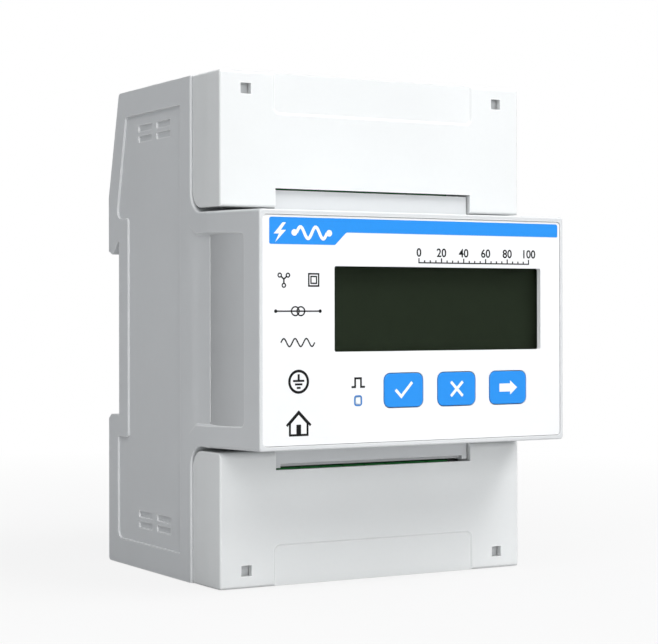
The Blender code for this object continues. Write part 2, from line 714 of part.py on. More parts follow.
def make_latch_spring():
    """A compression coil between the base's peg and the top of the latch's window."""
    wire = 0.32
    coil = 1.15
    turns = 6.0
    per_turn = 10
    sides = 5
    low = PEG_TOP + 0.3 + wire
    high = WINDOW_TOP - 0.3 - wire
    axis_y = 3.0
    bm = bmesh.new()
    rings = []
    count = int(turns * per_turn)
    for i in range(count + 1):
        t = i / count
        turn = 2 * math.pi * turns * t
        outward = Vector((math.cos(turn), math.sin(turn), 0.0))
        centre = outward * coil + Vector((0.0, axis_y, low + (high - low) * t))
        ring = []
        for side in range(sides):
            angle = 2 * math.pi * side / sides
            offset = (outward * math.cos(angle) + Vector((0.0, 0.0, 1.0)) * math.sin(angle)) * wire
            ring.append(bm.verts.new((centre + offset) * MM))
        rings.append(ring)
    for first, second in zip(rings, rings[1:]):
        for side in range(sides):
            following = (side + 1) % sides
            bm.faces.new([first[side], first[following], second[following], second[side]])
    bm.faces.new(rings[0])
    bm.faces.new(rings[-1])
    spring = object_from(bm, "latch_spring", "steel")
    smooth(spring, 60.0)


def make_case_screws():
    places = [(x, z) for z in (SCREW_Z, -SCREW_Z) for x in (-SCREW_X, SCREW_X)]
    for number, (x, z) in enumerate(places, 1):
        screw = extrude(circle(x, z, 2.4), "Y", 0.5, 1.5, f"case_screw_{number}", "steel")
        join(screw, extrude(circle(x, z, 1.15, 10), "Y", -29.5, 0.8))
        for width, height in ((2.6, 0.6), (0.6, 2.6)):
            cut(screw, extrude(rectangle(x, z, width, height), "Y", 0.9, 3.0))
        smooth(screw)


def main():
    clear_scene()
    make_rear_base()
    make_main_housing()
    make_cover(1, "top_cover")
    make_cover(-1, "bottom_cover")
    make_faceplate()
    make_display()
    for number, (name, x) in enumerate(zip(KEY_NAMES, KEY_CENTRES), 1):
        make_key(name, number, x)
    make_pulse_lamp()
    make_boards()
    make_ribbon()
    make_terminal_block(1, "top_terminal_block", "top_terminal_screw", 4)
    make_terminal_block(-1, "bottom_terminal_block", "bottom_terminal_screw", 8)
    make_power_parts()
    make_latch()
    make_latch_spring()
    make_case_screws()


main()
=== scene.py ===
"""Looks for a smart electric meter on a 35 mm rail: edges, materials, printed marks, light and camera.

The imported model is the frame, in metres: +X is right seen from the front, the front faces -Y, +Z is up.
Lengths named here are in millimetres unless their comment says otherwise.
"""

import math

import bmesh
import bpy
from mathutils import Matrix, Vector


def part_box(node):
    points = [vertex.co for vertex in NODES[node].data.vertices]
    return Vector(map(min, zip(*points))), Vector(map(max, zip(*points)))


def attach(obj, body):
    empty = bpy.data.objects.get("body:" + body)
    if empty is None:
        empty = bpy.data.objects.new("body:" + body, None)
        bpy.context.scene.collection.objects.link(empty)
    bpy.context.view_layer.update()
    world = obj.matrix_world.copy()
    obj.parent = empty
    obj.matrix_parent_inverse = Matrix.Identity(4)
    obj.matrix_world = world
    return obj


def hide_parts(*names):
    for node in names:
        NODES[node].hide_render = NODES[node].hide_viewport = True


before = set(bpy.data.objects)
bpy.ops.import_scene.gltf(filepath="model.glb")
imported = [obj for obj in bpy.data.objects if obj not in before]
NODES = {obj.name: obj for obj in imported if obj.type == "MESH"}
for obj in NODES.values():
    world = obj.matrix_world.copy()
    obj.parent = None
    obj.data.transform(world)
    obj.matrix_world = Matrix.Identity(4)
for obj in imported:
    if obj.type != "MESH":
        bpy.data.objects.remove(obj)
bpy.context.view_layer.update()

MM = 0.001

PRINT_THICKNESS = 0.02
PRINT_SINK = 0.004  # how far a print reaches into the surface under it

# Casing
HALF_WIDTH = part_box("main_housing")[1].x / MM
HALF_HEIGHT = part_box("main_housing")[1].z / MM
RIB_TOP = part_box("rear_base")[1].z / MM
NOSE_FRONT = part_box("main_housing")[0].y / MM
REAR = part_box("main_housing")[1].y / MM
PANEL_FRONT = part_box("faceplate")[0].y / MM
NOSE_HALF_WIDTH = 35.2
NOSE_HALF_HEIGHT = 22.45
NOSE_ROOT_HALF_HEIGHT = 22.9
CREASE = -41.3  # the sides draw in forward of this plane
DECK = -34.0
DECK_FILLET = 4.0
STRIP_HALF_WIDTH = 22.86  # hinge strips between the nose and the covers' notches
STRIP_FRONT = -44.4
STRIP_END = 27.2
SNAP_POST = ((27.8, 31.6), (-45.0, DECK + 1.0), (45.2, 48.0))  # a block around each post
POCKET_HALF_HEIGHT = 17.95
POCKET_FRONT = -56.0
POCKET_STEP = 0.12  # how far the pocket's floor steps in forward of the crease
PANEL_DEPTH = 0.4
DASH_DEPTH = 0.35
DASH_SIZE = (6.2, 1.1)
DASH_Y = (-12.5, -21.1)
DASH_HEIGHTS = {1: (39.5, 41.7), -1: (38.7, 40.9)}  # on the upper side and on the lower side

# Covers
COVER_CREASE = -40.7
COVER_FRONT_HALF_WIDTH = 35.4
COVER_SEAM = 0.2  # how far a cover's rear rim is drawn into the seam behind it
LABEL_SIZE = (46.4, 10.0)
LABEL_DEPTH = 0.3

# Rounding
SKIN = 0.01  # how far a rounding envelope stands outside the faces that it leaves alone
RIM = 0.15
DECK_RIM = 0.45  # around the faces that the covers close on to
NOSE_RIM = 0.35
NOSE_CORNER = 0.65
COVER_RIM = 0.45
COVER_SIDE_RIM = 0.3
SHARP_ANGLE = math.radians(32.0)

# Printed marks
STRIPE_LEFT = -33.07
STRIPE_RIGHT = 33.88
STRIPE_TOP = 21.0
SCALE_ENDS = (0.2, 26.6)
SCALE_BASE = 12.8
SCALE_STEPS = 20  # of 5 each, with a number at every fourth
KEYS = [
    ("button_enter", "enter_key", "tick"),
    ("button_cancel", "cancel_key", "cross"),
    ("button_next", "next_key", "arrow"),
]

# Light
WORLD_FILL = 0.28
LIGHTS = [  # name, azimuth and elevation in degrees, size, power in watts
    ("front_key", -15.0, 10.0, 600.0, 3.8),
    ("top_left", -40.0, 50.0, 500.0, 2.9),
    ("top_right", 40.0, 50.0, 500.0, 6.4),
    ("overhead", 0.0, 75.0, 600.0, 0.9),
    ("rear", 180.0, 30.0, 600.0, 1.5),
]

# Camera, as a view with a shifted lens
CAMERA_PLACE = (-195.954, -349.134, 3.197)
CAMERA_YAW = 28.266  # degrees, to the right of +Y
CAMERA_PITCH = 0.127
CAMERA_ROLL = -0.088
CAMERA_LENS = 98.19
CAMERA_SHIFT = (0.1460, -0.0199)


# Node trees


def add(tree, kind, settings=None, **inputs):
    """Adds a shader node. An input is a value or an output, and an underscore stands for a space."""
    made = tree.nodes.new(kind)
    for name, value in (settings or {}).items():
        setattr(made, name, value)
    for name, value in inputs.items():
        key = int(name[1:]) if name[0] == "n" and name[1:].isdigit() else name.replace("_", " ")
        if isinstance(value, bpy.types.NodeSocket):
            tree.links.new(value, made.inputs[key])
        else:
            made.inputs[key].default_value = value
    return made


def math_node(tree, operation, a, b=0.0):
    return add(tree, "ShaderNodeMath", {"operation": operation}, n0=a, n1=b).outputs[0]


def ramp(tree, value, low, high, from_low=0.0, from_high=1.0):
    """The value carried from one range to another, and held at its ends."""
    made = add(tree, "ShaderNodeMapRange", None, Value=value)
    made.inputs["From Min"].default_value = from_low
    made.inputs["From Max"].default_value = from_high
    made.inputs["To Min"].default_value = low
    made.inputs["To Max"].default_value = high
    return made.outputs["Result"]


def mix_colour(tree, share, first, second, blend="MIX"):
    made = add(tree, "ShaderNodeMix", {"data_type": "RGBA", "blend_type": blend}, n0=share)
    for index, value in ((6, first), (7, second)):
        if isinstance(value, bpy.types.NodeSocket):
            tree.links.new(value, made.inputs[index])
        else:
            made.inputs[index].default_value = value
    return made.outputs[2]


def noise(tree, where, size_mm, detail=3.0, roughness=0.5):
    """Noise whose features are about this many millimetres wide."""
    made = add(tree, "ShaderNodeTexNoise", None, Vector=where, Scale=1000.0 / size_mm, Detail=detail)
    made.inputs["Roughness"].default_value = roughness
    return made.outputs["Fac"]


def new_material(name):
    made = bpy.data.materials.new(name)
    made.use_nodes = True
    tree = made.node_tree
    shader = tree.nodes["Principled BSDF"]
    where = tree.nodes.new("ShaderNodeTexCoord").outputs["Object"]
    return made, tree, shader, where


def edge_mask(tree, width_mm):
    """1 along sharp edges and 0 on open faces."""
    rounded = add(tree, "ShaderNodeBevel", {"samples": 4}, Radius=width_mm * MM)
    flat = tree.nodes.new("ShaderNodeNewGeometry")
    same = add(tree, "ShaderNodeVectorMath", {"operation": "DOT_PRODUCT"}, n0=rounded.outputs[0])
    tree.links.new(flat.outputs["Normal"], same.inputs[1])
    return ramp(tree, same.outputs["Value"], 1.0, 0.0, 0.90, 0.995)


def moulded(
    name, colour, roughness=0.45, grain=0.3, bump=0.10, edge_wear_and_highlight=0.25, lift=0.05, dust_and_shade=0.18, specular=0.4
):
    """Moulded plastic: fine grain, slight shade drift, polished edges with a painted highlight, and dust
    with painted shade in the corners.

    The edges are lighter by the lift, a share of the way to white: a little wear, and a painted highlight
    where the lift is high.
    """
    made, tree, shader, where = new_material(name)
    drift = noise(tree, where, 28.0, 2.0)
    speckle = noise(tree, where, 0.9, 3.0)
    base = (*colour, 1.0)
    deep = (*[c * 0.93 for c in colour], 1.0)
    worn_and_lit = (*[c + (1.0 - c) * lift for c in colour], 1.0)
    shade = mix_colour(tree, ramp(tree, drift, 0.0, 0.45, 0.35, 0.65), base, deep)
    shade = mix_colour(tree, ramp(tree, speckle, 0.0, 0.12, 0.4, 0.7), shade, deep)
    # Painted highlight along sharp edges, with some wear; the lift sets how far towards white they go.
    edges = edge_mask(tree, 0.35)
    edge_breakup = ramp(tree, noise(tree, where, 3.0, 4.0), 0.6, 1.0, 0.4, 0.6)
    edge_share = math_node(tree, "MULTIPLY", math_node(tree, "MULTIPLY", edges, edge_breakup), edge_wear_and_highlight)
    shade = mix_colour(tree, edge_share, shade, worn_and_lit)
    # Painted shade in the corners, from occlusion, together with dust.
    corner = add(tree, "ShaderNodeAmbientOcclusion", {"samples": 4}, Distance=2.0 * MM)
    dirt_and_shade = ramp(tree, corner.outputs["AO"], dust_and_shade, 0.0, 0.25, 0.9)
    shade = mix_colour(tree, dirt_and_shade, shade, (*[c * 0.55 for c in colour], 1.0))
    tree.links.new(shade, shader.inputs["Base Color"])
    rough = ramp(tree, noise(tree, where, 6.0, 4.0), roughness - 0.05, roughness + 0.06, 0.3, 0.7)
    rough = math_node(tree, "SUBTRACT", rough, math_node(tree, "MULTIPLY", edge_share, 0.3))
    tree.links.new(rough, shader.inputs["Roughness"])
    shader.inputs["Specular IOR Level"].default_value = specular
    relief = add(tree, "ShaderNodeBump", None, Strength=bump, Distance=0.05 * MM)
    tree.links.new(noise(tree, where, grain, 2.0), relief.inputs["Height"])
    tree.links.new(relief.outputs[0], shader.inputs["Normal"])
    return made


def pocket_painted_shade(name, colour, tint, rear, front):
    """The casing's plastic in a finger pocket, with painted shade: darkest at its rear and none at its
    front.
    """
    made = moulded(name, colour, edge_wear_and_highlight=0.9, lift=0.8)
    tree = made.node_tree
    target = tree.nodes["Principled BSDF"].inputs["Base Color"]
    unshaded = target.links[0].from_socket
    where = tree.nodes.new("ShaderNodeTexCoord").outputs["Object"]
    depth = add(tree, "ShaderNodeSeparateXYZ", None, Vector=where).outputs["Y"]
    # Painted shade, strongest at the rear (the crease) and fading to none at the front, broken into
    # patches.
    share = ramp(tree, depth, 0.0, 1.0, front * MM, rear * MM)
    patches = ramp(tree, noise(tree, where, 5.0, 3.0), 0.9, 1.0, 0.35, 0.65)
    share = math_node(tree, "MULTIPLY", share, patches)
    shaded = mix_colour(tree, 1.0, unshaded, (tint, tint, tint, 1.0), "MULTIPLY")
    tree.links.new(mix_colour(tree, share, unshaded, shaded), target)
    return made


def printed_ink(name, colour, roughness=0.4):
    """Screen-printed ink, with slightly uneven cover."""
    made, tree, shader, where = new_material(name)
    cover = noise(tree, where, 0.35, 3.0)
    thin = (*[c * 0.92 + 0.005 for c in colour], 1.0)
    shade = mix_colour(tree, ramp(tree, cover, 0.0, 0.5, 0.45, 0.75), (*colour, 1.0), thin)
    tree.links.new(shade, shader.inputs["Base Color"])
    tree.links.new(ramp(tree, cover, roughness - 0.06, roughness + 0.08), shader.inputs["Roughness"])
    shader.inputs["Specular IOR Level"].default_value = 0.2
    relief = add(tree, "ShaderNodeBump", None, Strength=0.08, Distance=0.02 * MM, Height=cover)
    tree.links.new(relief.outputs[0], shader.inputs["Normal"])
    return made


def metal(name, colour, roughness=0.3):
    """Plated steel with turning marks."""
    made, tree, shader, where = new_material(name)
    streak = noise(tree, where, 0.4, 5.0, 0.6)
    tarnish = noise(tree, where, 2.5, 3.0)
    shade = mix_colour(
        tree, ramp(tree, tarnish, 0.0, 0.5, 0.4, 0.7), (*colour, 1.0), (*[c * 0.75 for c in colour], 1.0)
    )
    tree.links.new(shade, shader.inputs["Base Color"])
    tree.links.new(ramp(tree, streak, roughness - 0.1, roughness + 0.15), shader.inputs["Roughness"])
    shader.inputs["Metallic"].default_value = 1.0
    relief = add(tree, "ShaderNodeBump", None, Strength=0.15, Distance=0.02 * MM, Height=streak)
    tree.links.new(relief.outputs[0], shader.inputs["Normal"])
    return made


def clear_plastic(name):
    """The clear window: mostly see-through, with a faint reflection and fine dust."""
    made, tree, shader, where = new_material(name)
    tree.nodes.remove(shader)
    see_through = add(tree, "ShaderNodeBsdfTransparent", None, Color=(0.97, 0.98, 0.97, 1.0))
    haze = noise(tree, where, 0.6, 4.0)
    gloss = add(tree, "ShaderNodeBsdfGlossy", None, Color=(1.0, 1.0, 1.0, 1.0))
    tree.links.new(ramp(tree, haze, 0.08, 0.16, 0.3, 0.7), gloss.inputs["Roughness"])
    share = add(tree, "ShaderNodeFresnel", None, IOR=1.08).outputs[0]
    made_mix = add(tree, "ShaderNodeMixShader", None, n0=share)
    tree.links.new(see_through.outputs[0], made_mix.inputs[1])
    tree.links.new(gloss.outputs[0], made_mix.inputs[2])
    output = tree.nodes["Material Output"]
    tree.links.new(made_mix.outputs[0], output.inputs["Surface"])
    return made


# Shapes


def outline(corners, steps=4):
    """Points of a closed outline, in which a corner (a, b, radius) is rounded."""
    points = []
    count = len(corners)
    for i, corner in enumerate(corners):
        here = Vector(corner[:2])
        if len(corner) == 2:
            points.append(here)
            continue
        before = (Vector(corners[i - 1][:2]) - here).normalized()
        after = (Vector(corners[(i + 1) % count][:2]) - here).normalized()
        half = before.angle(after) / 2
        centre = here + (before + after).normalized() * (corner[2] / math.sin(half))
        reach = corner[2] / math.tan(half)
        start = here + before * reach - centre
        turn = start.angle_signed(here + after * reach - centre)
        for step in range(steps + 1):
            spun = start.copy()
            spun.rotate(Matrix.Rotation(-turn * step / steps, 2))
            points.append(centre + spun)
    return [tuple(p) for p in points]


def rectangle(a, b, width, height, radius=0.0, steps=4):
    corners = [(a + s * width / 2, b + t * height / 2) for s, t in ((-1, -1), (1, -1), (1, 1), (-1, 1))]
    if radius:
        corners = [(*corner, radius) for corner in corners]
    return outline(corners, steps)


def ring_points(a, b, radius, count=32):
    turns = [2 * math.pi * i / count for i in range(count)]
    return [(a + radius * math.cos(t), b + radius * math.sin(t)) for t in turns]


def grown(points, distance):
    """The outline moved outwards by a distance, with its corners kept."""
    count = len(points)
    area = sum(points[i - 1][0] * points[i][1] - points[i][0] * points[i - 1][1] for i in range(count))
    side = math.copysign(distance, area)
    moved = []
    for i, point in enumerate(points):
        first = (Vector(point) - Vector(points[i - 1])).normalized()
        second = (Vector(points[(i + 1) % count]) - Vector(point)).normalized()
        normal = Vector((first.y + second.y, -first.x - second.x)).normalized()
        straight = max(0.2, normal.dot(Vector((first.y, -first.x))))
        moved.append(tuple(Vector(point) + normal * (side / straight)))
    return moved


def in_space(axis, a, b, height):
    """The point at a height along an axis, with a and b along the other two in X, Y, Z order."""
    if axis == "X":
        return Vector((height, a, b)) * MM
    if axis == "Y":
        return Vector((a, height, b)) * MM
    return Vector((a, b, height)) * MM


def object_from(bm, name="shape"):
    bmesh.ops.recalc_face_normals(bm, faces=bm.faces)
    mesh = bpy.data.meshes.new(name)
    bm.to_mesh(mesh)
    bm.free()
    made = bpy.data.objects.new(name, mesh)
    bpy.context.scene.collection.objects.link(made)
    return made


def between(axis, rings, rounded=0.0, segments=3):
    """A body through outlines of equal length, given as (height, points). Its end rims can be rounded."""
    bm = bmesh.new()
    loops = [[bm.verts.new(in_space(axis, a, b, height)) for a, b in points] for height, points in rings]
    ends = [bm.faces.new(loops[0]), bm.faces.new(loops[-1])]
    count = len(loops[0])
    for low, high in zip(loops, loops[1:]):
        for i in range(count):
            bm.faces.new([low[i], low[(i + 1) % count], high[(i + 1) % count], high[i]])
    bmesh.ops.recalc_face_normals(bm, faces=bm.faces)
    if rounded:
        rims = [edge for face in ends for edge in face.edges]
        bmesh.ops.bevel(
            bm,
            geom=rims,
            offset=rounded * MM,
            offset_type="OFFSET",
            segments=segments,
            profile=0.5,
            affect="EDGES",
            clamp_overlap=False,
        )
    return object_from(bm)


def prism(points, axis, low, high, rounded=0.0, segments=3):
    return between(axis, [(low, points), (high, points)], rounded, segments)


def block(x, y, z, rounded=0.0):
    """A box from (low, high) pairs, with all its edges rounded."""
    bm = bmesh.new()
    bmesh.ops.create_cube(bm, size=1.0)
    size = Vector((x[1] - x[0], y[1] - y[0], z[1] - z[0]))
    centre = Vector((x[1] + x[0], y[1] + y[0], z[1] + z[0])) / 2
    bmesh.ops.scale(bm, vec=size * MM, verts=bm.verts)
    bmesh.ops.translate(bm, vec=centre * MM, verts=bm.verts)
    if rounded:
        bmesh.ops.bevel(
            bm, geom=bm.edges[:], offset=rounded * MM, segments=2, profile=0.5, affect="EDGES"
        )
    return object_from(bm)


def combine(target, tool, operation):
    """Joins, cuts or trims the target with the tool, and removes the tool."""
    step = target.modifiers.new("Boolean", "BOOLEAN")
    step.operation = operation
    step.solver = "EXACT"
    step.object = tool
    graph = bpy.context.evaluated_depsgraph_get()
    mesh = bpy.data.meshes.new_from_object(target.evaluated_get(graph))
    target.modifiers.remove(step)
    target.data = mesh
    bpy.data.objects.remove(tool, do_unlink=True)
    return target


def copy_of(node, name):
    """A new object with a node's shape as one closed mesh."""
    source = NODES[node].data
    bm = bmesh.new()
    corners = [bm.verts.new(v.co) for v in source.vertices]
    for face in source.polygons:
        bm.faces.new([corners[i] for i in face.vertices])
    bmesh.ops.remove_doubles(bm, verts=bm.verts, dist=0.002 * MM)
    bmesh.ops.dissolve_limit(bm, angle_limit=math.radians(0.5), verts=bm.verts, edges=bm.edges)
    return object_from(bm, name)


def shade_smooth(thing):
    thing.data.shade_smooth()
    thing.data.set_sharp_from_angle(angle=math.radians(33.0))
    even = thing.modifiers.new("even_normals", "WEIGHTED_NORMAL")
    even.keep_sharp = True
    even.weight = 80


def finish_shell(shell, name, node, body, material):
    """Tidies a shell's mesh, shades it and puts it in its node's place."""
    bm = bmesh.new()
    bm.from_mesh(shell.data)
    bmesh.ops.remove_doubles(bm, verts=bm.verts, dist=0.001 * MM)
    bm.to_mesh(shell.data)
    bm.free()
    shell.name = name
    shell.data.name = name
    shell.data.materials.clear()
    shell.data.materials.append(material)
    shade_smooth(shell)
    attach(shell, body)
    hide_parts(node)


def sharpen(thing, y):
    """Keeps the slight bend in a shell's sides at one depth as a crisp line."""
    points = thing.data.vertices
    for edge in thing.data.edges:
        if all(abs(points[i].co.y / MM - y) < 0.02 for i in edge.vertices):
            edge.use_edge_sharp = True


# Shells


def rear_profile():
    """Corners of the casing's rear from its top to its foot, with the rail slot between."""
    return [
        (-0.3, HALF_HEIGHT, 1.0),
        (REAR, 28.0, 1.5),
        (REAR, 16.5),
        (3.3, 15.8),
        (2.8, 16.0),
        (0.3, 18.4),
        (-0.2, 18.4),
        (-0.2, -18.5),
        (3.8, -18.5),
        (REAR, -19.4),
        (REAR, -HALF_HEIGHT, 0.8),
    ]


def span(side, low, high):
    """A low and high z, measured outwards on the upper side, +1, or the lower side, -1."""
    return (low, high) if side > 0 else (-high, -low)


def front_step():
    """Corners of the step from the upper deck to the nose's root and on to the lower deck."""
    return [
        (DECK, NOSE_ROOT_HALF_HEIGHT, DECK_FILLET),
        (CREASE, NOSE_ROOT_HALF_HEIGHT),
        (CREASE, -NOSE_ROOT_HALF_HEIGHT),
        (DECK, -NOSE_ROOT_HALF_HEIGHT, DECK_FILLET),
    ]


def side_walls():
    """The casing behind the nose, with a wider rounding where the covers close on to it."""
    profile = [(DECK, HALF_HEIGHT), *front_step(), (DECK, -HALF_HEIGHT), *rear_profile()[::-1]]
    profile = grown(outline(profile, 6), SKIN)
    walls = prism(profile, "X", -HALF_WIDTH - SKIN, HALF_WIDTH + SKIN, RIM)
    far = 2 * HALF_HEIGHT
    clear = [(DECK, far), *front_step(), (DECK, -far), (2 * REAR, -far), (2 * REAR, far)]
    clear = grown(outline(clear, 7), 3 * SKIN)
    half_width = HALF_WIDTH + 3 * SKIN
    return combine(walls, prism(clear, "X", -half_width, half_width, DECK_RIM), "INTERSECT")


def nose():
    sections = [
        (CREASE + 4.0, HALF_WIDTH - 0.1, NOSE_ROOT_HALF_HEIGHT - 0.1),
        (CREASE, HALF_WIDTH + SKIN, NOSE_ROOT_HALF_HEIGHT + SKIN),
        (NOSE_FRONT - SKIN, NOSE_HALF_WIDTH + SKIN, NOSE_HALF_HEIGHT + SKIN),
    ]
    rings = [(y, rectangle(0.0, 0.0, 2 * a, 2 * b, NOSE_CORNER)) for y, a, b in sections]
    return between("Y", rings, NOSE_RIM, 4)


def pocket_step(hand):
    """A wedge that steps a finger pocket's floor in at the crease and runs out forward of it."""
    front = CREASE - 3.9
    outer = HALF_WIDTH + 1.0
    edge = 35.52
    wedge = [
        (edge, CREASE),
        (edge - POCKET_STEP, CREASE - POCKET_STEP / 2),
        (edge + POCKET_STEP, front),
        (outer, front),
        (outer, CREASE),
    ]
    wedge = [(hand * x, y) for x, y in wedge]
    return prism(wedge, "Z", -POCKET_HALF_HEIGHT, POCKET_HALF_HEIGHT)


def housing_envelope():
    """The casing's outside with rounded rims, a hair larger than the casing."""
    envelope = combine(side_walls(), nose(), "UNION")
    for side in (-1, 1):
        z = span(side, NOSE_ROOT_HALF_HEIGHT - 1.0, STRIP_END + SKIN)
        strip = block((-STRIP_HALF_WIDTH, STRIP_HALF_WIDTH), (STRIP_FRONT - SKIN, -40.0), z, 0.2)
        combine(envelope, strip, "UNION")
        for hand in (-1, 1):
            x, y, z = SNAP_POST
            post = block(span(hand, *x), y, span(side, *z))
            combine(envelope, post, "UNION")
    for hand in (-1, 1):
        combine(envelope, pocket_step(hand), "DIFFERENCE")
    return envelope


def side_panel_outline():
    corners = [
        (-29.3, -44.6, 0.3),
        (0.2, -44.6, 1.7),
        (0.3, -23.1, 0.4),
        (-4.8, -23.1, 0.8),
        (-4.8, 23.3, 0.9),
        (0.95, 23.3, 1.8),
        (-3.7, 44.6, 0.6),
        (-29.3, 44.6, 0.3),
    ]
    return outline(corners, 5)


def open_mouth(shell, axis, points, hand, surface, depth, spread):
    """Slants a recess's walls outwards, from its outline at the floor. Its floor sinks by a hair."""
    above = 0.2
    floor = grown(points, 0.03)
    mouth = grown(points, 0.03 + spread * (depth + above) / depth)
    rings = [(hand * (surface - depth - 0.01), floor), (hand * (surface + above), mouth)]
    combine(shell, between(axis, rings), "DIFFERENCE")


def in_pocket(point):
    """Whether a place is in a finger pocket, forward of the crease."""
    inside = abs(point.x) > HALF_WIDTH - 1.0 and abs(point.z) < POCKET_HALF_HEIGHT + 1.0
    return inside and POCKET_FRONT < point.y < CREASE + 0.02


# Gives the faces in the finger pockets the material with painted shade.
def paint_pockets(shell):
    shell.data.materials.append(pocket)
    corners = shell.data.vertices
    for face in shell.data.polygons:
        if all(in_pocket(corners[i].co / MM) for i in face.vertices):
            face.material_index = 1


def add_side_recess(shell, hand):
    """The shallow panel on one side, with four short dashes at its top and at its foot."""
    open_mouth(shell, "X", side_panel_outline(), hand, HALF_WIDTH, PANEL_DEPTH, 0.06)
    for side in (-1, 1):
        for y in DASH_Y:
            for z in DASH_HEIGHTS[side]:
                dash = rectangle(y, side * z, *DASH_SIZE, 0.1, 2)
                open_mouth(shell, "X", dash, hand, HALF_WIDTH - PANEL_DEPTH, DASH_DEPTH, 0.1)


def make_housing():
    shell = copy_of("main_housing", "housing_shell")
    combine(shell, housing_envelope(), "INTERSECT")
    for hand in (-1, 1):
        add_side_recess(shell, hand)
    finish_shell(shell, "housing_shell", "main_housing", "casing", casing)
    sharpen(shell, CREASE)
    paint_pockets(shell)


def make_rear_base():
    shell = copy_of("rear_base", "base_shell")
    profile = grown(outline([(-29.2, HALF_HEIGHT), *rear_profile(), (-29.2, -HALF_HEIGHT)], 6), SKIN)
    half_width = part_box("rear_base")[1].x / MM
    envelope = prism(profile, "X", -half_width - SKIN, half_width + SKIN, 0.2, 2)
    seat = block((-34.0, 34.0), (-1.0, SKIN), (-15.2, 15.2))
    rib_x = (-33.5 - SKIN, 33.5 + SKIN)
    rib = block(rib_x, (-21.1 - SKIN, -9.2 + SKIN), (48.0, RIB_TOP + SKIN), 0.25)
    for piece in (seat, rib):
        combine(envelope, piece, "UNION")
    combine(shell, envelope, "INTERSECT")
    finish_shell(shell, "base_shell", "rear_base", "casing", casing)


def make_cover(side, node, body, near_round):
    """A flip cover's shell, with rounded rims and a label recess at its far end."""
    shell = copy_of(node, f"{node}_shell")
    low, high = (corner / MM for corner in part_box(node))
    near, far = sorted((abs(low.z), abs(high.z)))
    for corner in shell.data.vertices:
        if corner.co.y > (high.y - 0.2) * MM:
            corner.co.y += COVER_SEAM * MM
    rear = high.y + COVER_SEAM
    profile = [
        (low.y, near, near_round),
        (low.y, far, 0.6),
        (rear, far),
        (rear, near, 3.6),
    ]
    points = [(y, side * z) for y, z in grown(outline(profile, 8), SKIN)]
    sides = prism(points, "X", low.x - SKIN, high.x + SKIN, COVER_SIDE_RIM)
    combine(shell, sides, "INTERSECT")
    sections = [
        (rear + 1.0, high.x + SKIN, far + SKIN),
        (COVER_CREASE, high.x + SKIN, far + SKIN),
        (low.y - SKIN, COVER_FRONT_HALF_WIDTH + SKIN, far + SKIN),
    ]
    rings = [(y, rectangle(0.0, 0.0, 2 * a, 2 * b, 0.5, 4)) for y, a, b in sections]
    combine(shell, between("Y", rings, COVER_RIM, 4), "INTERSECT")
    label = rectangle(0.0, side * (far - 2.7), *LABEL_SIZE, 1.0)
    open_mouth(shell, "Y", label, -1, -low.y, LABEL_DEPTH, 0.4)
    finish_shell(shell, f"{node}_shell", node, body, cover)
    sharpen(shell, COVER_CREASE)


# Printed marks


def band(left, right, closed, low, high):
    """A flat body between two lines of points on the front, from one depth to another."""
    bm = bmesh.new()
    lines = [[bm.verts.new(in_space("Y", a, b, low)) for a, b in line] for line in (left, right)]
    count = len(left)
    faces = []
    for i in range(count if closed else count - 1):
        j = (i + 1) % count
        faces.append(bm.faces.new([lines[0][i], lines[0][j], lines[1][j], lines[1][i]]))
    grown_faces = bmesh.ops.extrude_face_region(bm, geom=faces)
    moved = [g for g in grown_faces["geom"] if isinstance(g, bmesh.types.BMVert)]
    bmesh.ops.translate(bm, verts=moved, vec=in_space("Y", 0, 0, high - low))
    return object_from(bm)


def stroke(points, width, depth, closed=False):
    """A line of even width along points."""
    count = len(points)
    left, right = [], []
    for i, point in enumerate(points):
        before = points[i - 1] if i or closed else None
        after = points[(i + 1) % count] if i + 1 < count or closed else None
        here = Vector(point)
        first = (here - Vector(before)).normalized() if before else None
        second = (Vector(after) - here).normalized() if after else None
        first = first or second
        second = second or first
        normal = Vector((first.y + second.y, -first.x - second.x)).normalized()
        reach = width / 2 / max(0.4, normal.dot(Vector((first.y, -first.x))))
        left.append(tuple(here + normal * reach))
        right.append(tuple(here - normal * reach))
    return band(left, right, closed, *depth)


def area(points, depth):
    return prism(points, "Y", *depth)


def printed(name, shapes, material, body):
    """One printed mark from shapes that may overlap."""
    mark = shapes[0]
    for shape in shapes[1:]:
        combine(mark, shape, "UNION")
    mark.name = name
    mark.data.name = name
    mark.data.materials.clear()
    mark.data.materials.append(material)
    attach(mark, body)


def front_print(name, shapes, material):
    """A printed mark on the front panel."""
    printed(name, shapes, material, "casing")


def print_depth(surface):
    return (surface + PRINT_SINK, surface - PRINT_THICKNESS)


def wave(start, end, height, cycles):
    """Points along a sine wave between two places of equal height, 14 to a cycle."""
    count = int(14 * cycles)
    line = []
    for i in range(count + 1):
        t = i / count
        x = start[0] + (end[0] - start[0]) * t
        line.append((x, start[1] + height * math.sin(2 * math.pi * cycles * t)))
    return line


def numeral(text, size, place, depth):
    """A number as a flat body, centred on a place."""
    curve = bpy.data.curves.new("numeral", "FONT")
    curve.body = text
    curve.size = size * MM
    curve.align_x = "CENTER"
    curve.extrude = (depth[0] - depth[1]) / 2 * MM
    curve.resolution_u = 4
    curve.offset = 0.04 * MM
    made = bpy.data.objects.new("numeral", curve)
    bpy.context.scene.collection.objects.link(made)
    made.rotation_euler = (math.radians(90.0), 0.0, 0.0)
    made.location = Vector((place[0], (depth[0] + depth[1]) / 2, place[1])) * MM
    bpy.context.view_layer.update()
    graph = bpy.context.evaluated_depsgraph_get()
    mesh = bpy.data.meshes.new_from_object(made.evaluated_get(graph))
    mesh.transform(made.matrix_world)
    bpy.data.objects.remove(made, do_unlink=True)
    solid = bpy.data.objects.new("numeral", mesh)
    bpy.context.scene.collection.objects.link(solid)
    return solid


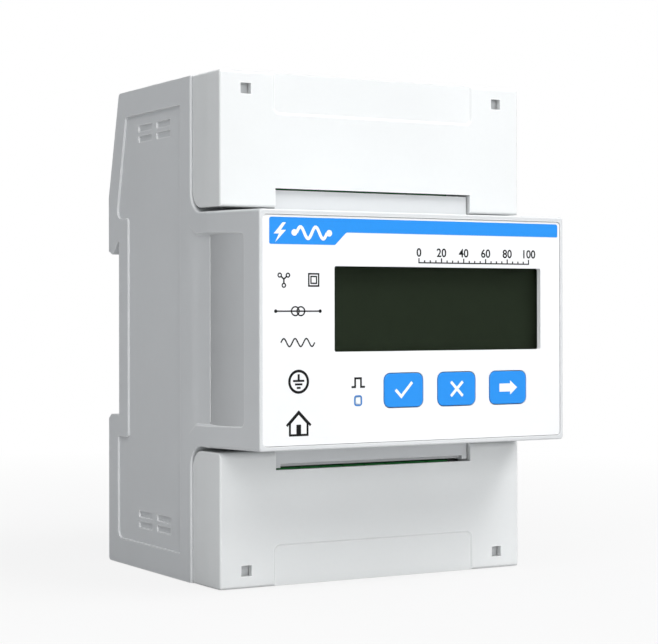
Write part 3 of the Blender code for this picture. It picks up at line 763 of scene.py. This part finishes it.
def make_stripe():
    """The coloured stripe along the panel's top, with a lower tab at its left end."""
    depth = print_depth(PANEL_FRONT)
    tab = [
        (STRIPE_LEFT, STRIPE_TOP, 0.5),
        (STRIPE_LEFT, 15.95, 0.35),
        (-18.8, 15.95, 0.5),
        (-16.3, 18.35, 0.6),
        (STRIPE_RIGHT, 18.35, 0.25),
        (STRIPE_RIGHT, STRIPE_TOP, 0.5),
    ]
    front_print("stripe_print", [area(outline(tab), depth)], ink_blue)


def make_tab_symbols():
    """A bolt, and one wave between two end dots, in white on the stripe's tab."""
    depth = (PANEL_FRONT - PRINT_THICKNESS + PRINT_SINK, PANEL_FRONT - 2 * PRINT_THICKNESS)
    bolt = [
        (-30.2, 20.0),
        (-32.1, 17.9),
        (-31.0, 17.9),
        (-31.8, 16.3),
        (-29.5, 18.6),
        (-30.6, 18.6),
        (-29.5, 20.0),
    ]
    front_print("bolt_print", [area(bolt, depth)], ink_white)
    start, end = (-27.2, 18.15), (-20.6, 18.15)
    line = wave(start, end, 1.1, 2.0)
    shapes = [stroke(line, 0.6, depth)]
    for x in (start[0] - 0.5, end[0] + 0.5):
        shapes.append(area(ring_points(x, start[1], 0.62, 20), depth))
    front_print("wave_print", shapes, ink_white)


def make_scale():
    """A load scale over the display: ticks with numbers from 0 to 100."""
    depth = print_depth(PANEL_FRONT)
    start, end = SCALE_ENDS
    width = 0.26
    ticks = [area(rectangle((start + end) / 2, SCALE_BASE + 0.05, end - start + width, 0.24), depth)]
    numbers = []
    for i in range(SCALE_STEPS + 1):
        x = start + (end - start) * i / SCALE_STEPS
        long = i % 4 == 0
        height = 0.95 if long else 0.55
        ticks.append(area(rectangle(x, SCALE_BASE + height / 2, width, height), depth))
        if long:
            numbers.append(numeral(str(5 * i), 2.3, (x, SCALE_BASE + 1.25), depth))
    front_print("scale_print", ticks, ink_black)
    for number, mark in enumerate(numbers, 1):
        front_print(f"scale_number_{number}", [mark], ink_black)


def make_star_symbol():
    """Three lines from one point to three small rings, for a star connection."""
    depth = print_depth(PANEL_FRONT)
    centre = Vector((-29.95, 9.45))
    shapes = []
    for degrees in (40.0, 140.0, 270.0):
        way = Vector((math.cos(math.radians(degrees)), math.sin(math.radians(degrees))))
        end = centre + way * 1.15
        shapes.append(stroke([tuple(centre), tuple(centre + way * 0.85)], 0.3, depth))
        shapes.append(stroke(ring_points(end.x, end.y, 0.36, 16), 0.25, depth, True))
    front_print("star_connection_print", shapes, ink_black)


def make_double_square():
    depth = print_depth(PANEL_FRONT)
    for name, size, width in (("outer", 2.15, 0.3), ("inner", 1.2, 0.26)):
        line = rectangle(-23.5, 9.35, size, size * 1.06)
        mark = stroke(line, width, depth, True)
        front_print(f"double_square_{name}_print", [mark], ink_black)


def make_transformer_symbol():
    """A conductor through two linked rings, for a current transformer."""
    depth = print_depth(PANEL_FRONT)
    z = 3.5
    shapes = [stroke([(-31.9, z), (-21.9, z)], 0.26, depth)]
    for x in (-27.5, -26.3):
        shapes.append(stroke(ring_points(x, z, 0.82), 0.26, depth, True))
    for x in (-31.7, -22.1):
        shapes.append(area(ring_points(x, z, 0.34, 16), depth))
    front_print("transformer_print", shapes, ink_black)


def make_wave_symbol():
    depth = print_depth(PANEL_FRONT)
    line = wave((-30.6, -2.35), (-23.3, -2.35), 0.75, 3.0)
    front_print("alternating_print", [stroke(line, 0.27, depth)], ink_black)


def make_earth_symbol():
    depth = print_depth(PANEL_FRONT)
    x, z = -26.8, -9.65
    shapes = [stroke(ring_points(x, z, 2.0, 40), 0.5, depth, True)]
    shapes.append(area(rectangle(x, z + 0.75, 0.44, 1.3), depth))
    for drop, width in ((0.0, 2.4), (0.65, 1.6), (1.3, 0.8)):
        shapes.append(area(rectangle(x, z + 0.15 - drop, width, 0.38), depth))
    front_print("earth_print", shapes, ink_black)


def make_house_symbol():
    """A house's outline with a door, for indoor use."""
    depth = print_depth(PANEL_FRONT)
    x, z = -26.8, -19.6
    house = [(x - 1.9, z), (x + 1.9, z), (x + 1.9, z + 2.2), (x, z + 4.1), (x - 1.9, z + 2.2)]
    roof = [(x - 2.6, z + 1.75), (x, z + 4.3), (x + 2.6, z + 1.75)]
    shapes = [stroke(house, 0.42, depth, True), stroke(roof, 0.46, depth)]
    shapes.append(area(rectangle(x, z + 1.0, 1.0, 1.9, 0.1, 2), depth))
    front_print("indoor_print", shapes, ink_black)


def make_pulse_marks():
    """A square pulse over the pulse lamp, and a frame around the lamp."""
    depth = print_depth(PANEL_FRONT)
    base, top = -10.9, -9.25
    pulse = [(-15.2, base), (-14.4, base), (-14.4, top), (-13.1, top), (-13.1, base), (-12.2, base)]
    front_print("pulse_print", [stroke(pulse, 0.38, depth)], ink_black)
    lamp_low, lamp_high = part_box("pulse_led")
    x, z = (lamp_low + lamp_high).xz / 2 / MM
    frame_line = rectangle(x, z, 1.52, 1.77, 0.4, 3)
    mark = stroke(frame_line, 0.3, depth, True)
    front_print("lamp_frame_print", [mark], ink_lamp)


def make_key_legends():
    """A tick, a cross and an arrow, in white."""
    for node, body, kind in KEYS:
        low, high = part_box(node)
        x, z = (low + high).xz / 2 / MM
        depth = print_depth(low.y / MM)
        if kind == "tick":
            shapes = [stroke([(x - 1.9, z + 0.1), (x - 0.6, z - 1.2), (x + 1.9, z + 1.5)], 0.55, depth)]
        elif kind == "cross":
            reach = 1.4
            lines = [[(x - reach, z - s * reach), (x + reach, z + s * reach)] for s in (-1, 1)]
            shapes = [stroke(line, 0.55, depth) for line in lines]
        else:
            arrow = [
                (x - 2.1, z - 0.8),
                (x + 0.5, z - 0.8),
                (x + 0.5, z - 1.4),
                (x + 2.2, z),
                (x + 0.5, z + 1.4),
                (x + 0.5, z + 0.8),
                (x - 2.1, z + 0.8),
            ]
            shapes = [area(arrow, depth)]
        printed(f"{kind}_legend", shapes, ink_white, body)


# Edges of the carried-over nodes


def smooth_group():
    """Shades smooth, with edges over the sharp angle kept sharp."""
    group = bpy.data.node_groups.new("smooth_by_angle", "GeometryNodeTree")
    group.interface.new_socket("Geometry", in_out="INPUT", socket_type="NodeSocketGeometry")
    group.interface.new_socket("Geometry", in_out="OUTPUT", socket_type="NodeSocketGeometry")
    source = group.nodes.new("NodeGroupInput")
    result = group.nodes.new("NodeGroupOutput")
    faces = group.nodes.new("GeometryNodeSetShadeSmooth")
    edges = group.nodes.new("GeometryNodeSetShadeSmooth")
    edges.domain = "EDGE"
    edges.inputs["Shade Smooth"].default_value = False
    bend = group.nodes.new("GeometryNodeInputMeshEdgeAngle")
    over = group.nodes.new("FunctionNodeCompare")
    over.operation = "GREATER_THAN"
    over.inputs["B"].default_value = SHARP_ANGLE
    group.links.new(bend.outputs["Unsigned Angle"], over.inputs["A"])
    group.links.new(over.outputs[0], edges.inputs["Selection"])
    group.links.new(source.outputs[0], faces.inputs["Geometry"])
    group.links.new(faces.outputs[0], edges.inputs["Geometry"])
    group.links.new(edges.outputs[0], result.inputs[0])
    return group


SMOOTH = smooth_group()


def round_edges(node, width):
    """Rounds a carried-over node's edges with modifiers, so its own mesh stays as it is."""
    thing = NODES[node]
    weld = thing.modifiers.new("weld", "WELD")
    weld.merge_threshold = 0.002 * MM
    flat = thing.modifiers.new("flatten", "DECIMATE")
    flat.decimate_type = "DISSOLVE"
    flat.angle_limit = math.radians(0.6)
    shade = thing.modifiers.new("shade", "NODES")
    shade.node_group = SMOOTH
    if width:
        bevel = thing.modifiers.new("round", "BEVEL")
        bevel.width = width * MM
        bevel.segments = 2
        bevel.limit_method = "ANGLE"
        bevel.angle_limit = SHARP_ANGLE
        bevel.harden_normals = True
        bevel.use_clamp_overlap = True
        bevel.miter_outer = "MITER_ARC"


def paint(node, material):
    thing = NODES[node]
    thing.data.materials.clear()
    thing.data.materials.append(material)


# The meter's parts

WHITE_GREY = (0.66, 0.675, 0.685)
BLUE = (0.024, 0.274, 0.80)

# A high edge lift on the casing and the covers paints a highlight along their edges.
casing = moulded("casing_plastic", WHITE_GREY, edge_wear_and_highlight=0.9, lift=0.8)
# Painted shade in the finger pockets, darkest at the crease and gone by the front.
pocket = pocket_painted_shade("pocket_painted_shade", WHITE_GREY, 0.72, CREASE, -60.0)
cover = moulded("cover_plastic", (0.77, 0.785, 0.785), roughness=0.42, edge_wear_and_highlight=0.9, lift=0.8)
panel = moulded("panel_plastic", (0.87, 0.875, 0.885), roughness=0.38, bump=0.04, dust_and_shade=0.1)
key_blue = moulded("key_plastic", BLUE, roughness=0.4, bump=0.05, dust_and_shade=0.1, specular=0.2)
glass = moulded("display_glass", (0.021, 0.029, 0.017), roughness=0.6, bump=0.0, edge_wear_and_highlight=0.0, specular=0.05)
lamp = moulded("lamp_plastic", (0.85, 0.90, 0.93), roughness=0.3, bump=0.02)
green = moulded("terminal_plastic", (0.02, 0.24, 0.05), roughness=0.42)
board = moulded("board_laminate", (0.010, 0.12, 0.04), roughness=0.45, grain=0.15)
black = moulded("black_plastic", (0.02, 0.02, 0.022), roughness=0.5)
varistor = moulded("varistor_coating", (0.03, 0.10, 0.35), roughness=0.4)
ivory = moulded("ribbon_sleeve", (0.70, 0.66, 0.55), roughness=0.5)
latch = moulded("latch_plastic", (0.36, 0.38, 0.40), roughness=0.5)
steel = metal("plated_steel", (0.62, 0.62, 0.60))
window = clear_plastic("clear_window")
ink_blue = printed_ink("blue_ink", BLUE)
ink_black = printed_ink("black_ink", (0.004, 0.004, 0.004))
ink_white = printed_ink("white_ink", (0.90, 0.92, 0.93))
ink_lamp = printed_ink("lamp_ink", (0.06, 0.22, 0.55))

LOOKS = [  # node name start, material, edge width
    ("faceplate", panel, 0.05),
    ("display_window", window, 0.1),
    ("lcd_panel", glass, 0.1),
    ("lcd_holder", panel, 0.1),
    ("button", key_blue, 0.15),
    ("key_plunger", black, 0.1),
    ("tact_switch", steel, 0.1),
    ("pulse_light_pipe", lamp, 0.1),
    ("pulse_led", lamp, 0.1),
    ("display_board", board, 0.1),
    ("main_board", board, 0.1),
    ("display_ribbon", ivory, 0.05),
    ("ribbon_socket", black, 0.1),
    ("top_terminal_block", green, 0.1),
    ("bottom_terminal_block", green, 0.1),
    ("top_terminal_screw", steel, 0.1),
    ("bottom_terminal_screw", steel, 0.08),
    ("supply_transformer", black, 0.2),
    ("supply_capacitor", black, 0.3),
    ("varistor", varistor, 0.3),
    ("metering_chip", black, 0.1),
    ("controller_chip", black, 0.1),
    ("bus_transceiver", black, 0.1),
    ("din_latch", latch, 0.2),
    ("latch_spring", steel, 0.0),
    ("case_screw", steel, 0.12),
]

for start, material, width in LOOKS:
    for name in NODES:
        if name.startswith(start):
            paint(name, material)
            round_edges(name, width)


make_housing()
make_rear_base()
make_cover(1, "top_cover", "upper_flip_cover", 0.5)
make_cover(-1, "bottom_cover", "lower_flip_cover", 1.3)
make_stripe()
make_tab_symbols()
make_scale()
make_star_symbol()
make_double_square()
make_transformer_symbol()
make_wave_symbol()
make_earth_symbol()
make_house_symbol()
make_pulse_marks()
make_key_legends()


# Stage, light and camera


def make_floor():
    """A pale floor that shades near the object and fades into the white behind it."""
    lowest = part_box("main_housing")[0].z
    bm = bmesh.new()
    bmesh.ops.create_grid(bm, x_segments=1, y_segments=1, size=3.0)
    mesh = bpy.data.meshes.new("floor")
    bm.to_mesh(mesh)
    bm.free()
    floor = bpy.data.objects.new("floor", mesh)
    floor.location = (0.0, 0.0, lowest - 0.2 * MM)
    bpy.context.scene.collection.objects.link(floor)
    made, tree, shader, where = new_material("floor_paint")
    grain = noise(tree, where, 40.0, 2.0)
    shade = mix_colour(tree, grain, (0.52, 0.52, 0.52, 1.0), (0.56, 0.56, 0.56, 1.0))
    tree.links.new(shade, shader.inputs["Base Color"])
    shader.inputs["Roughness"].default_value = 0.9
    glow = add(tree, "ShaderNodeEmission", None, Color=(1.0, 1.0, 1.0, 1.0), Strength=1.0)
    distance = add(tree, "ShaderNodeVectorMath", {"operation": "LENGTH"}, n0=where).outputs["Value"]
    fade = ramp(tree, distance, 0.84, 1.0, 0.05, 0.30)
    seen = tree.nodes.new("ShaderNodeLightPath").outputs["Is Camera Ray"]
    both = add(tree, "ShaderNodeMixShader", None, n0=math_node(tree, "MULTIPLY", fade, seen))
    tree.links.new(shader.outputs[0], both.inputs[1])
    tree.links.new(glow.outputs[0], both.inputs[2])
    tree.links.new(both.outputs[0], tree.nodes["Material Output"].inputs["Surface"])
    mesh.materials.append(made)


def make_world():
    """White behind the object, and a dimmer even light on it."""
    world = bpy.data.worlds.new("studio")
    world.use_nodes = True
    tree = world.node_tree
    seen = tree.nodes["Background"]
    seen.inputs["Color"].default_value = (1.0, 1.0, 1.0, 1.0)
    fill = add(tree, "ShaderNodeBackground", None, Color=(0.93, 0.96, 1.0, 1.0), Strength=WORLD_FILL)
    path = tree.nodes.new("ShaderNodeLightPath")
    both = add(tree, "ShaderNodeMixShader", None, n0=path.outputs["Is Camera Ray"])
    tree.links.new(fill.outputs[0], both.inputs[1])
    tree.links.new(seen.outputs[0], both.inputs[2])
    tree.links.new(both.outputs[0], tree.nodes["World Output"].inputs["Surface"])
    bpy.context.scene.world = world


def area_light(name, azimuth, elevation, size, power):
    """A soft square light one metre off, aimed at the object. Azimuth 90 is to the right."""
    data = bpy.data.lights.new(name, "AREA")
    data.shape = "SQUARE"
    data.size = size * MM
    data.energy = power
    light = bpy.data.objects.new(name, data)
    turn = Matrix.Rotation(math.radians(azimuth), 3, "Z")
    tilt = Matrix.Rotation(math.radians(-elevation), 3, "X")
    place = turn @ tilt @ Vector((0.0, -1.0, 0.0))
    target = Vector((0.0, -30.0, 0.0)) * MM
    light.location = place
    light.rotation_mode = "QUATERNION"
    light.rotation_quaternion = (target - place).to_track_quat("-Z", "Y")
    bpy.context.scene.collection.objects.link(light)


def make_camera():
    data = bpy.data.cameras.new("camera")
    data.sensor_width = 36.0
    data.lens = CAMERA_LENS
    data.shift_x, data.shift_y = CAMERA_SHIFT
    data.clip_start = 0.01
    camera = bpy.data.objects.new("camera", data)
    turn = Matrix.Rotation(math.radians(-CAMERA_YAW), 4, "Z")
    tilt = Matrix.Rotation(math.radians(90.0 + CAMERA_PITCH), 4, "X")
    roll = Matrix.Rotation(math.radians(CAMERA_ROLL), 4, "Z")
    camera.matrix_world = Matrix.Translation(Vector(CAMERA_PLACE) * MM) @ turn @ tilt @ roll
    bpy.context.scene.collection.objects.link(camera)
    bpy.context.scene.camera = camera


make_floor()
make_world()
for light in LIGHTS:
    area_light(*light)
make_camera()
bpy.context.scene.view_settings.view_transform = "Standard"
